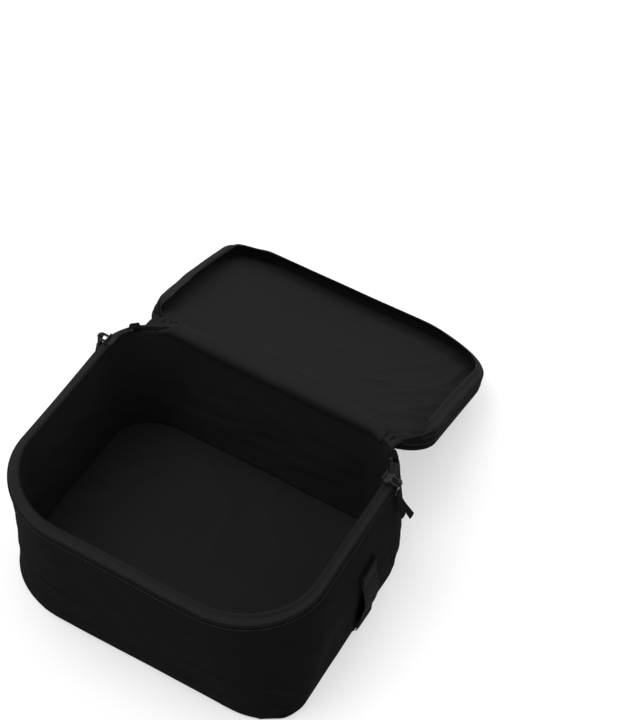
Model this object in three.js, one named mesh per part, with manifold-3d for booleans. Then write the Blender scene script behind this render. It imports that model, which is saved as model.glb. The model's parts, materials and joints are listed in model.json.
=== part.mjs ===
// A soft packing cube: a padded fabric case, open at the top, with a zipped tray-shaped lid.
// Millimetres. +X runs along the long side, -Y is the front, +Y is the hinge side, +Z is up.
// The origin is the middle of the base's underside. The lid is drawn closed inside its own
// group, and two folds along the back turn it over, back and down to the ground.
import * as THREE from "three";
import { mergeVertices } from "three/addons/utils/BufferGeometryUtils.js";
import Module from "manifold-3d";

// ---- Driving dimensions --------------------------------------------------------------------

const WIDTH = 280; // along X, outside
const DEPTH = 250; // along Y, outside
const WALL_HEIGHT = 122; // to the seam that carries the zip
const FRONT_CORNER = 75; // plan radius of the two front corners
const REAR_CORNER = 50; // plan radius of the two rear corners
const GAP = 0.3; // between pieces that are sewn or pressed together

const FABRIC = 1.2; // outer shell cloth, two layers with its coating
const FOAM = 2.4; // wall foam
const LINING = 0.6; // inner cloth
const BASE_FOAM = 4;
const PIPING = 1.5; // radius of the corded edge round the base and round the lid
const PIPING_INSET = 0.2; // its outer side stands this far inside the wall face
const SEAM_BINDING = 0.9; // radius of the rolled binding over the inner seams

const BINDING_HEIGHT = 1.8; // flat bound edge between a wall and its zip tape
const BINDING_INSET = 0.2;
const TAPE_INSET = 1; // the tape's outer face at its foot, inside the wall face
const TAPE = 0.6; // zip tape thickness
const TAPE_SLOPE_IN = 5.5; // the tape leans in by this much above the bound edge
const TAPE_SLOPE_UP = 2;
const TAPE_UPRIGHT = 3; // then it stands straight for this much, with the coil on its inner side
const COIL = 1; // coil radius
const COIL_SPLIT = 0.8; // from the top of the lower coil to the middle of the closed zip
const ZIP_END_ANGLE = 30; // degrees of each rear corner that the zip still runs round
const TAB_WIDTH = 7; // folded tab over the end of the zip tape
const TAB_LENGTH = 9;
const TAB_INSET = 4.2; // from the wall face to the middle of the tab
const TAB_TURN = 10; // degrees beyond the end of the zip
const STOP_SIZE = 2.6; // metal stop on the end of the coil
const STOP_LENGTH = 2.4;
const STOP_TURN = 2.2;

const LID_WALL = 11; // cloth wall of the lid, above its zip tape
const LID_FOAM = 3;
const PADDING_INSET = 1.5; // the lid's foam stops short of its lining by this much
const LOWER_FOLD = 169; // degrees, from shut to the strip hanging behind the back wall
const UPPER_FOLD = 33.7; // degrees, from shut to the lid's far edge lying on the ground
const STRIP_FOOT = 0.4; // the strip's cloth starts this far above the lower fold
const STRIP_LINING_FOOT = 0.8;
const STRIP_LINING_SHORT = 9; // its lining ends this far below the upper fold

const SLIDER_LENGTH = 10;
const SLIDER_HALF_HEIGHT = 3;
const SLIDER_PLATE = 1;
const SLIDER_WEB = 0.5; // thin web between the two coils
const SLIDER_FRONT_GAP = 1.4; // between the tape and the front plate
const SLIDER_SLACK = 0.9; // behind the coil, which starts to turn the corner inside the slider
const SLIDER_Y = 76; // where both sliders stand when the zip is fully open
const PIVOT_OUT = 3; // puller pivot, outside the wall face
const BRIDGE_BAR = 0.9; // radius of the bar that the puller swings on
const BRIDGE_LEG = 1.4; // width of each of its legs
const BRIDGE_LEG_Y = 3.2;
const EYE_HOLE = 1.3; // radii of the puller's eye
const EYE_OUTER = 2.4;
const EYE_WIDTH = 3;
const EYE_NECK = 0.4; // the plate starts this far below the eye's hole
const PULLER_LENGTH = 12;
const PULLER_WIDTH = 7;
const PULLER_PLATE = 1.2;
const PULLER_BAR = 1.4; // below the slot that the ribbon passes through
const PULLER_SLOT = 2.4;
const PULLER_RELIEF = 0.8; // clearance round the bridge's bar
const CUT_DEPTH = 4; // cuts go right through the plate
const RIBBON_WIDTH = 5;
const RIBBON = 0.8;
const RIBBON_TAIL = 27;
const RIBBON_NECK = 3; // the two tails run together for this much
const RIBBON_SPREAD = 0.5; // and part by this much at their ends
const RIBBON_STAGGER = 4; // one tail is shorter than the other

const HANDLE_WIDTH = 28;
const HANDLE_Y = 18;
const HANDLE_LOW = 8; // lower end above the ground
const HANDLE_HIGH = 84;
const HANDLE_END = 14; // stitched length at each end
const HANDLE_BOW = 7; // how far the webbing stands off between its ends
const HANDLE_STEPS = 10;
const WEBBING = 1.5;

const STEPS = 12; // segments in each quarter circle of the plan
const SMALL_SIDES = 6; // sides of a thin round section

// ---- Worked-out heights --------------------------------------------------------------------

const bindingTop = WALL_HEIGHT + GAP + BINDING_HEIGHT;
const tapeFoot = bindingTop + GAP;
const tapeBend = tapeFoot + TAPE_SLOPE_UP;
const tapeTop = tapeBend + TAPE_UPRIGHT;
const zipMiddle = tapeTop + COIL_SPLIT;
const lidSeam = 2 * zipMiddle - WALL_HEIGHT; // the lid's tape mirrors the case's
const lidTop = lidSeam + LID_WALL + 2 * PIPING;
const tapeOuter = -(TAPE_INSET + TAPE_SLOPE_IN); // offset of the upright tape's outer face
const stripLength = lidTop - bindingTop; // height of the cloth strip between the two folds
const liningInner = -(FABRIC + GAP + FOAM + GAP + LINING); // offset of the wall lining's inner face
const edgeInset = 2 * (PIPING + PIPING_INSET); // a flat panel stops here, inside its piping

// ---- Materials -----------------------------------------------------------------------------

const cloth = (color, roughness) => new THREE.MeshStandardMaterial({ color, roughness });
const shellCloth = cloth(0x17181a, 0.85);
const liningCloth = cloth(0x222326, 0.9);
const foam = cloth(0x2c2c2c, 1);
const bindingTape = cloth(0x1e1f21, 0.8);
const zipTape = cloth(0x26272a, 0.8);
const coilPlastic = new THREE.MeshStandardMaterial({ color: 0x1b1b1c, roughness: 0.45 });
const metalLook = { color: 0x1a1a1b, roughness: 0.35, metalness: 0.9 };
const blackMetal = new THREE.MeshStandardMaterial(metalLook);
const webbing = cloth(0x18191b, 0.85);

// ---- Geometry helpers ----------------------------------------------------------------------

// Points with outward normals round the rounded outline, counterclockwise from the rear left
// corner. With an endAngle the plan is open: it runs round only that much of each rear corner.
function plan(endAngle = null) {
  const open = endAngle !== null;
  const frontX = WIDTH / 2 - FRONT_CORNER;
  const frontY = DEPTH / 2 - FRONT_CORNER;
  const rearX = WIDTH / 2 - REAR_CORNER;
  const rearY = DEPTH / 2 - REAR_CORNER;
  const corners = [
    [-rearX, rearY, REAR_CORNER, open ? 180 - endAngle : 90, 180],
    [-frontX, -frontY, FRONT_CORNER, 180, 270],
    [frontX, -frontY, FRONT_CORNER, 270, 360],
    [rearX, rearY, REAR_CORNER, 0, open ? endAngle : 90],
  ];
  const points = [];
  for (const [x, y, radius, from, to] of corners) {
    const steps = Math.max(2, Math.round((STEPS * (to - from)) / 90));
    for (let i = 0; i <= steps; i++) {
      const t = THREE.MathUtils.degToRad(from + ((to - from) * i) / steps);
      const nx = Math.cos(t);
      const ny = Math.sin(t);
      points.push({ x: x + radius * nx, y: y + radius * ny, nx, ny });
    }
  }
  return { points, closed: !open };
}

// Sweeps a counterclockwise profile of [outward offset, height] pairs along a plan.
function sweep({ points, closed }, profile) {
  const m = profile.length;
  const position = [];
  for (const p of points)
    for (const [out, z] of profile) position.push(p.x + p.nx * out, p.y + p.ny * out, z);
  const index = [];
  const spans = closed ? points.length : points.length - 1;
  for (let i = 0; i < spans; i++)
    for (let j = 0; j < m; j++) {
      const next = (i + 1) % points.length;
      const k = (j + 1) % m;
      const [a, b, c, d] = [i * m + j, i * m + k, next * m + k, next * m + j];
      index.push(a, d, c, a, c, b);
    }
  if (!closed) {
    const last = (points.length - 1) * m;
    const contour = profile.map(([out, z]) => new THREE.Vector2(out, z));
    for (const [a, b, c] of THREE.ShapeUtils.triangulateShape(contour, []))
      index.push(a, b, c, last + c, last + b, last + a);
  }
  const geometry = new THREE.BufferGeometry();
  geometry.setAttribute("position", new THREE.Float32BufferAttribute(position, 3));
  geometry.setIndex(index);
  geometry.computeVertexNormals();
  return geometry;
}

const band = (outer, inner, low, high) => [
  [inner, low],
  [outer, low],
  [outer, high],
  [inner, high],
];

const round = (out, z, radius, sides = 8) =>
  Array.from({ length: sides }, (_, i) => {
    const t = (2 * Math.PI * i) / sides;
    return [out + radius * Math.cos(t), z + radius * Math.sin(t)];
  });

const mirrored = (profile) =>
  profile.map(([out, z]) => [out, 2 * zipMiddle - z]).reverse();

// A flat rounded sheet, inset from the outer plan, from height low up.
function sheet(inset, low, thickness) {
  const outline = plan().points.map((p) => new THREE.Vector2(p.x - p.nx * inset, p.y - p.ny * inset));
  const geometry = new THREE.ExtrudeGeometry(new THREE.Shape(outline), {
    depth: thickness,
    bevelEnabled: false,
  });
  return geometry.translate(0, 0, low);
}

const box = (sx, sy, sz, x, y, z) => new THREE.BoxGeometry(sx, sy, sz).translate(x, y, z);

// Extrudes an outline drawn in X (first) and Z (second) along Y, centred on y = 0.
function alongY(outline, length, holes = []) {
  const shape = new THREE.Shape(outline.map(([x, z]) => new THREE.Vector2(x, z)));
  for (const hole of holes)
    shape.holes.push(new THREE.Path(hole.map(([x, z]) => new THREE.Vector2(x, z))));
  const geometry = new THREE.ExtrudeGeometry(shape, { depth: length, bevelEnabled: false });
  return geometry.translate(0, 0, -length / 2).rotateX(Math.PI / 2);
}

function named(name, geometry, material) {
  const mesh = new THREE.Mesh(geometry, material);
  mesh.name = name;
  return mesh;
}

function group(...children) {
  const made = new THREE.Group();
  made.add(...children);
  return made;
}

// ---- Boolean cuts --------------------------------------------------------------------------

const wasm = await Module();
wasm.setup();

function toSolid(geometry) {
  const bare = new THREE.BufferGeometry();
  bare.setAttribute("position", geometry.getAttribute("position"));
  if (geometry.index) bare.setIndex(geometry.index);
  const merged = mergeVertices(bare, 1e-4);
  return new wasm.Manifold(
    new wasm.Mesh({
      numProp: 3,
      vertProperties: merged.getAttribute("position").array,
      triVerts: new Uint32Array(merged.index.array),
    }),
  );
}

function fromSolid(solid) {
  const { vertProperties, triVerts } = solid.getMesh();
  const geometry = new THREE.BufferGeometry();
  geometry.setAttribute("position", new THREE.BufferAttribute(vertProperties, 3));
  geometry.setIndex(new THREE.BufferAttribute(triVerts, 1));
  return geometry;
}

// ---- Profiles shared by the case and the lid -------------------------------------------------

const tapeProfile = [
  [-TAPE_INSET, tapeFoot],
  [tapeOuter, tapeBend],
  [tapeOuter, tapeTop],
  [tapeOuter - TAPE, tapeTop],
  [tapeOuter - TAPE, tapeBend],
  [-TAPE_INSET - TAPE, tapeFoot],
];
const coilOffset = tapeOuter - TAPE - GAP - COIL;
const coilProfile = round(coilOffset, tapeTop - COIL, COIL, SMALL_SIDES);
const bindingProfile = band(-BINDING_INSET, liningInner, WALL_HEIGHT + GAP, bindingTop);
const zipPlan = plan(ZIP_END_ANGLE);

// ---- Case ------------------------------------------------------------------------------------

const wallFoot = 2 * PIPING + 2 * GAP;
const baseFoamLow = FABRIC + GAP;
const baseLiningLow = baseFoamLow + BASE_FOAM + GAP;

function caseWalls() {
  const full = plan();
  const foamOuter = -(FABRIC + GAP);
  const liningOuter = foamOuter - FOAM - GAP;
  return [
    named("wall_shell", sweep(full, band(0, -FABRIC, wallFoot, WALL_HEIGHT)), shellCloth),
    named("wall_padding", sweep(full, band(foamOuter, foamOuter - FOAM, wallFoot, WALL_HEIGHT)), foam),
    named("wall_lining", sweep(full, band(liningOuter, liningInner, wallFoot, WALL_HEIGHT)), liningCloth),
    named("rim_binding", sweep(full, bindingProfile), bindingTape),
  ];
}

function caseBase() {
  const innerInset = GAP - liningInner;
  const bindingZ = baseLiningLow + LINING + GAP + SEAM_BINDING;
  const bindingOut = liningInner - GAP - SEAM_BINDING;
  const pipingProfile = round(-(PIPING + PIPING_INSET), PIPING + PIPING_INSET, PIPING);
  const seamProfile = round(bindingOut, bindingZ, SEAM_BINDING, SMALL_SIDES);
  return [
    named("base_shell", sheet(edgeInset, 0, FABRIC), shellCloth),
    named("base_padding", sheet(innerInset, baseFoamLow, BASE_FOAM), foam),
    named("base_lining", sheet(innerInset, baseLiningLow, LINING), liningCloth),
    named("base_piping", sweep(plan(), pipingProfile), bindingTape),
    named("base_seam_binding", sweep(plan(), seamProfile), bindingTape),
  ];
}

// Small folded cloth tab that closes the end of the zip, on the corner, and the stop on its coil.
function zipEnd(side, label) {
  const tab = box(TAB_WIDTH, TAB_LENGTH, tapeTop - tapeFoot, 0, 0, (tapeTop + tapeFoot) / 2);
  const stop = box(STOP_SIZE, STOP_LENGTH, STOP_SIZE, 0, 0, tapeTop - COIL);
  onRearCorner(tab, ZIP_END_ANGLE + TAB_TURN, REAR_CORNER - TAB_INSET);
  onRearCorner(stop, ZIP_END_ANGLE + STOP_TURN, REAR_CORNER + coilOffset);
  if (side < 0) {
    mirrorX(tab);
    mirrorX(stop);
  }
  return [
    named(`zip_end_tab_${label}`, tab, shellCloth),
    named(`zip_stop_${label}`, stop, blackMetal),
  ];
}

// Turns a piece and carries it out to a place on the right rear corner's arc.
function onRearCorner(geometry, degrees, radius) {
  const angle = THREE.MathUtils.degToRad(degrees);
  const x = WIDTH / 2 - REAR_CORNER + radius * Math.cos(angle);
  const y = DEPTH / 2 - REAR_CORNER + radius * Math.sin(angle);
  geometry.rotateZ(angle).translate(x, y, 0);
}

function mirrorX(geometry) {
  geometry.scale(-1, 1, 1);
  const index = geometry.index.array;
  for (let i = 0; i < index.length; i += 3)
    [index[i + 1], index[i + 2]] = [index[i + 2], index[i + 1]];
}

function sideHandle() {
  const foot = WIDTH / 2 + GAP;
  const rest = foot + WEBBING + GAP;
  const span = HANDLE_HIGH - HANDLE_LOW - 2 * HANDLE_END;
  const face = (extra) => {
    const line = [[rest + extra, HANDLE_LOW]];
    for (let i = 0; i <= HANDLE_STEPS; i++) {
      const s = i / HANDLE_STEPS;
      const bow = HANDLE_BOW * Math.sin(Math.PI * s);
      line.push([rest + extra + bow, HANDLE_LOW + HANDLE_END + span * s]);
    }
    line.push([rest + extra, HANDLE_HIGH]);
    return line;
  };
  const outline = [...face(WEBBING), ...face(0).reverse()];
  const patch = (low) =>
    box(WEBBING, HANDLE_WIDTH, HANDLE_END, foot + WEBBING / 2, HANDLE_Y, low + HANDLE_END / 2);
  return [
    named("side_handle", alongY(outline, HANDLE_WIDTH).translate(0, HANDLE_Y, 0), webbing),
    named("handle_patch_lower", patch(HANDLE_LOW), webbing),
    named("handle_patch_upper", patch(HANDLE_HIGH - HANDLE_END), webbing),
  ];
}

const caseGroup = group(
  ...caseBase(),
  ...caseWalls(),
  named("lower_zip_tape", sweep(zipPlan, tapeProfile), zipTape),
  named("lower_zip_coil", sweep(zipPlan, coilProfile), coilPlastic),
  ...zipEnd(1, "right"),
  ...zipEnd(-1, "left"),
  ...sideHandle(),
);

// ---- Lid, drawn closed -------------------------------------------------------------------------

function lidPieces() {
  const full = plan();
  const wallTop = lidTop - wallFoot;
  const liningOuter = -(FABRIC + GAP);
  const padTop = lidTop - FABRIC - GAP;
  const liningTop = padTop - LID_FOAM - GAP;
  const innerInset = FABRIC + LINING + 3 * GAP;
  const wallInner = liningOuter - LINING;
  const bindingZ = liningTop - LINING - GAP - SEAM_BINDING;
  const bindingOut = wallInner - GAP - SEAM_BINDING;
  const pipingProfile = round(-(PIPING + PIPING_INSET), lidTop - PIPING - PIPING_INSET, PIPING);
  const seamProfile = round(bindingOut, bindingZ, SEAM_BINDING, SMALL_SIDES);
  return [
    named("lid_panel", sheet(edgeInset, lidTop - FABRIC, FABRIC), shellCloth),
    named("lid_padding", sheet(innerInset + PADDING_INSET, padTop - LID_FOAM, LID_FOAM), foam),
    named("lid_lining", sheet(innerInset, liningTop - LINING, LINING), liningCloth),
    named("lid_piping", sweep(full, pipingProfile), bindingTape),
    named("lid_wall", sweep(zipPlan, band(0, -FABRIC, lidSeam, wallTop)), shellCloth),
    named("lid_wall_lining", sweep(zipPlan, band(liningOuter, wallInner, lidSeam, wallTop)), liningCloth),
    named("lid_seam_binding", sweep(zipPlan, seamProfile), bindingTape),
    named("lid_rim_binding", sweep(zipPlan, mirrored(bindingProfile)), bindingTape),
    named("upper_zip_tape", sweep(zipPlan, mirrored(tapeProfile)), zipTape),
    named("upper_zip_coil", sweep(zipPlan, mirrored(coilProfile)), coilPlastic),
  ];
}

// The strip between the folds is drawn standing on the lower fold, at its own origin.
function hingeStrip() {
  const width = WIDTH - 2 * REAR_CORNER;
  const shellHigh = stripLength - 2 * PIPING - 3 * GAP;
  const liningHigh = stripLength - STRIP_LINING_SHORT;
  const slab = (thickness, out, low, high) =>
    box(width, thickness, high - low, 0, -out - thickness / 2, (high + low) / 2);
  return [
    named("hinge_strip", slab(FABRIC, 0, STRIP_FOOT, shellHigh), shellCloth),
    named("hinge_lining", slab(LINING, FABRIC + GAP, STRIP_LINING_FOOT, liningHigh), liningCloth),
  ];
}

const opened = (degrees) => -THREE.MathUtils.degToRad(degrees);
// The lid's own coordinates are the closed ones, so it hangs under a pivot at the upper fold.
const lidGroup = group(...lidPieces());
lidGroup.position.set(0, -DEPTH / 2, -lidTop);
const upperFold = group(lidGroup);
upperFold.position.set(0, 0, stripLength);
upperFold.rotation.x = opened(UPPER_FOLD);
const lowerFold = group(...hingeStrip(), upperFold);
lowerFold.position.set(0, DEPTH / 2, bindingTop);
lowerFold.rotation.x = opened(LOWER_FOLD);

// ---- Sliders and pullers -------------------------------------------------------------------------

// Drawn for the right side about x = 0 at the wall's outer face, z = 0 at the zip's middle.
function slider(side, label) {
  const frontIn = tapeOuter + SLIDER_FRONT_GAP;
  const front = [frontIn, frontIn + SLIDER_PLATE];
  const backOut = coilOffset - COIL - SLIDER_SLACK;
  const h = SLIDER_HALF_HEIGHT;
  const w = SLIDER_WEB / 2;
  const outline = [
    [backOut - SLIDER_PLATE, -h],
    [backOut, -h],
    [backOut, -w],
    [front[0], -w],
    [front[0], -h],
    [front[1], -h],
    [front[1], h],
    [front[0], h],
    [front[0], w],
    [backOut, w],
    [backOut, h],
    [backOut - SLIDER_PLATE, h],
  ];
  const plates = alongY(outline, SLIDER_LENGTH);
  const bridge = sliderBridge(front[1] + GAP);
  const puller = pullerPlate();
  const ribbon = pullRibbon();
  const all = [plates, bridge, puller, ribbon];
  for (const geometry of all) {
    if (side < 0) geometry.rotateZ(Math.PI);
    geometry.translate((side * WIDTH) / 2, SLIDER_Y, zipMiddle);
  }
  return [
    named(`slider_${label}`, plates, blackMetal),
    named(`slider_bridge_${label}`, bridge, blackMetal),
    named(`puller_${label}`, puller, blackMetal),
    named(`pull_ribbon_${label}`, ribbon, webbing),
  ];
}

// A staple: two legs out from the front plate, joined by a round bar along Y.
function sliderBridge(foot) {
  const reach = PIVOT_OUT - foot;
  const leg = (y) => toSolid(box(reach, BRIDGE_LEG, 2 * BRIDGE_BAR, foot + reach / 2, y, 0));
  const length = 2 * BRIDGE_LEG_Y + BRIDGE_LEG;
  const bar = new THREE.CylinderGeometry(BRIDGE_BAR, BRIDGE_BAR, length, STEPS);
  const legs = leg(BRIDGE_LEG_Y).add(leg(-BRIDGE_LEG_Y));
  return fromSolid(legs.add(toSolid(bar.translate(PIVOT_OUT, 0, 0))));
}

// An eye round the bridge's bar, and a flat plate below it with a slot for the ribbon.
function pullerPlate() {
  const circle = (radius) => round(PIVOT_OUT, 0, radius, 16);
  const eye = alongY(circle(EYE_OUTER), EYE_WIDTH, [circle(EYE_HOLE)]);
  const top = -(EYE_HOLE + EYE_NECK);
  const height = PULLER_LENGTH + top;
  const plate = box(PULLER_PLATE, PULLER_WIDTH, height, PIVOT_OUT, 0, top - height / 2);
  const slotMiddle = PULLER_BAR + PULLER_SLOT / 2 - PULLER_LENGTH;
  const slot = box(CUT_DEPTH, RIBBON_WIDTH + 2 * GAP, PULLER_SLOT, PIVOT_OUT, 0, slotMiddle);
  const reliefHeight = 2 * (BRIDGE_BAR + PULLER_RELIEF);
  const relief = box(CUT_DEPTH, 2 * PULLER_WIDTH, reliefHeight, PIVOT_OUT, 0, 0);
  const body = toSolid(plate).subtract(toSolid(relief)).subtract(toSolid(slot));
  return fromSolid(body.add(toSolid(eye)));
}

// One ribbon folded over the puller's lower bar, its two tails hanging and parting a little.
function pullRibbon() {
  const barTop = PULLER_BAR - PULLER_LENGTH;
  const inner = PULLER_PLATE / 2 + GAP;
  const outer = inner + RIBBON;
  const neck = barTop - RIBBON_NECK;
  const longEnd = barTop - RIBBON_TAIL;
  const shortEnd = longEnd + RIBBON_STAGGER;
  const outline = [
    [inner, barTop + GAP],
    [inner, neck],
    [inner + RIBBON_SPREAD, longEnd],
    [outer + RIBBON_SPREAD, longEnd],
    [outer, neck],
    [outer, barTop + GAP + RIBBON],
    [-outer, barTop + GAP + RIBBON],
    [-outer, neck],
    [-outer - RIBBON_SPREAD, shortEnd],
    [-inner - RIBBON_SPREAD, shortEnd],
    [-inner, neck],
    [-inner, barTop + GAP],
  ];
  return alongY(outline.map(([x, z]) => [PIVOT_OUT + x, z]).reverse(), RIBBON_WIDTH);
}

// ---- The whole cube --------------------------------------------------------------------------------

const packingCube = group(caseGroup, lowerFold, ...slider(1, "right"), ...slider(-1, "left"));
packingCube.name = "packing_cube";

export default packingCube;
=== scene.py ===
# Looks for a soft packing cube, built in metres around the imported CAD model.
import json
import math

import bpy
import numpy as np
from mathutils import Matrix, Vector


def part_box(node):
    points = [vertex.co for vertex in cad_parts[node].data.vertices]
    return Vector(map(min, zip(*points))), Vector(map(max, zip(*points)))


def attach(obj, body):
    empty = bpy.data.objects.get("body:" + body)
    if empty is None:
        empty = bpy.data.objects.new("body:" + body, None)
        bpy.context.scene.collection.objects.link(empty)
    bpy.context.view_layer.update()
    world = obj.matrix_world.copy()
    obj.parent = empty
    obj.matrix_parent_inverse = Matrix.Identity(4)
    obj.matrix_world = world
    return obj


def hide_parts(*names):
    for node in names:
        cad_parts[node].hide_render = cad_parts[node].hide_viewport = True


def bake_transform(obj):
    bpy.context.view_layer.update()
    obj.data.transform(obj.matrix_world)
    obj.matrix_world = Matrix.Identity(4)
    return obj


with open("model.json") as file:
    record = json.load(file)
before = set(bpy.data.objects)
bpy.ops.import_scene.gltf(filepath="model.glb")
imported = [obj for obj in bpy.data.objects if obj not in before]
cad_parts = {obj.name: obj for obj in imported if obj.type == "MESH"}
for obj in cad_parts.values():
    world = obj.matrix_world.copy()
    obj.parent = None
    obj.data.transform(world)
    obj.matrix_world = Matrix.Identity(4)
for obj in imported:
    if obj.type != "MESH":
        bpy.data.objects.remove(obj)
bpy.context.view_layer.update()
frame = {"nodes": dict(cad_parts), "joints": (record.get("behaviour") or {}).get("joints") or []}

# ---- Sizes from the frame ----

MM = 0.001
JOINTS = {j["name"]: j for j in frame["joints"]}
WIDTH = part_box("wall_shell")[1].x * 2
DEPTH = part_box("wall_shell")[1].y * 2
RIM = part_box("wall_shell")[1].z  # top of the case wall
BOUND_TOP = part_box("rim_binding")[1].z
TAPE_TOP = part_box("lower_zip_tape")[1].z
LOWER_FOLD = Vector(JOINTS["lower_fold"]["pos_m"])
UPPER_FOLD = Vector(JOINTS["upper_fold"]["pos_m"])
LOWER_TURN = math.radians(JOINTS["lower_fold"]["range_deg"][1])
UPPER_TURN = math.radians(JOINTS["upper_fold"]["range_deg"][1])
STRIP = (UPPER_FOLD - LOWER_FOLD).length
LID_TOP = BOUND_TOP + STRIP  # outer face of the lid when it is shut
ZIP_MIDDLE = TAPE_TOP + 0.8 * MM
LID_SEAM = 2 * ZIP_MIDDLE - RIM

FRONT_CORNER = 75 * MM
REAR_CORNER = 50 * MM
CLOTH = 1.2 * MM
FOAM = 2.4 * MM
LINING = 0.6 * MM
ZIP_END = 30.0  # degrees of each rear corner that the zip runs round


# ---- The rounded outline ----

class Outline:
    """The plan of the cube as points, outward normals and running length, counterclockwise."""

    def __init__(self, zip_end=None, step=3 * MM):
        fx, fy = WIDTH / 2 - FRONT_CORNER, DEPTH / 2 - FRONT_CORNER
        rx, ry = WIDTH / 2 - REAR_CORNER, DEPTH / 2 - REAR_CORNER
        start, end = (90.0, 90.0) if zip_end is None else (180.0 - zip_end, zip_end)
        corners = [
            (-rx, ry, REAR_CORNER, start, 180.0),
            (-fx, -fy, FRONT_CORNER, 180.0, 270.0),
            (fx, -fy, FRONT_CORNER, 270.0, 360.0),
            (rx, ry, REAR_CORNER, 0.0, end),
        ]
        xy, normal = [], []
        for x, y, radius, a, b in corners:
            count = max(4, round(math.radians(b - a) * radius / step))
            turn = np.radians(np.linspace(a, b, count + 1))
            ring = np.stack([np.cos(turn), np.sin(turn)], 1)
            if xy:
                self._straight(xy, normal, np.array([x, y]) + radius * ring[0], ring[0], step)
            xy.extend(np.array([x, y]) + radius * ring)
            normal.extend(ring)
        self.closed = zip_end is None
        if self.closed:
            self._straight(xy, normal, xy[0], normal[0], step)
        self.xy, self.normal = np.array(xy), np.array(normal)
        gaps = np.linalg.norm(np.diff(self.xy, axis=0), axis=1)
        self.length = np.concatenate([[0], np.cumsum(gaps)])

    @staticmethod
    def _straight(xy, normal, target, target_normal, step):
        here = np.array(xy[-1])
        count = max(1, round(np.linalg.norm(target - here) / step))
        for i in range(1, count):
            xy.append(here + (target - here) * i / count)
            normal.append(np.array(target_normal))

    def at(self, length):
        """Points and normals at these running lengths."""
        pick = [np.interp(length, self.length, c) for c in (*self.xy.T, *self.normal.T)]
        normal = np.stack(pick[2:], -1)
        return np.stack(pick[:2], -1), normal / np.linalg.norm(normal, axis=-1, keepdims=True)


RING = Outline()
ZIP_RUN = Outline(ZIP_END)
WALL_RUN = Outline(74.0)  # the lid's wall tapers off beyond the end of the zip


def waves(points, seed, wavelength, count=7):
    """Smooth deterministic noise from -1 to 1: a sum of plane waves with seeded directions."""
    rng = np.random.default_rng(seed)
    total = np.zeros(len(points))
    for _ in range(count):
        direction = rng.normal(size=3)
        direction *= 2 * math.pi / (wavelength * rng.uniform(0.7, 1.5) * np.linalg.norm(direction))
        total += np.sin(points @ direction + rng.uniform(0, 2 * math.pi))
    return total / math.sqrt(count) / 1.6


def smooth(low, high, value):
    t = np.clip((value - low) / (high - low), 0, 1)
    return t * t * (3 - 2 * t)


def ridges(points, seed, wavelength, sharp=3.0):
    """Narrow raised creases, from 0 to 1."""
    return np.clip(1 - np.abs(waves(points, seed, wavelength)) * 1.6, 0, 1) ** sharp


# ---- Soft shapes of the case and the lid ----

FOOT_RIGHT = 12 * MM  # the foot of the right wall stands out by this much
FOOT_LEFT = -11 * MM
FOOT_FRONT = -16 * MM  # the front wall leans in towards its foot
FOOT_ROUND = 5 * MM  # softening of the wall into the base
FOOT_CORNER = 45 * MM  # the front corners are tighter at the foot than at the rim
WALL_BULGE = 2.2 * MM
REAR_DRAW = 3 * MM  # the rear corners are drawn in at the rim


def corner_of(normal):
    """0 on the straight sides, 0.41 in the middle of a corner."""
    return np.abs(normal[:, 0]) + np.abs(normal[:, 1]) - np.linalg.norm(normal, axis=1)


def tightened(xy, normal, by):
    """How far outline points move when the front corners' radius shrinks by this much."""
    reach = np.array([WIDTH / 2 - FRONT_CORNER, DEPTH / 2 - FRONT_CORNER])
    full = np.sign(xy) * np.stack([by, by], 1)
    in_corner = (np.abs(normal) > 1e-6).all(axis=1) & (normal[:, 1] < 0)
    arc = full - normal * by[:, None]
    flat_front = np.stack([np.clip(xy[:, 0] / reach[0], -1, 1) * by, xy[:, 0] * 0], 1)
    side = np.clip(-xy[:, 1] / reach[1], 0, 1)
    flat_side = np.stack([xy[:, 0] * 0, -side * by], 1)
    flat = np.where(np.abs(normal[:, 1:]) > np.abs(normal[:, :1]), flat_front, flat_side)
    flat = flat * (xy[:, 1:] < reach[1]) * (normal[:, 1:] < 0.5)
    return np.where(in_corner[:, None], arc, flat)


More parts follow.
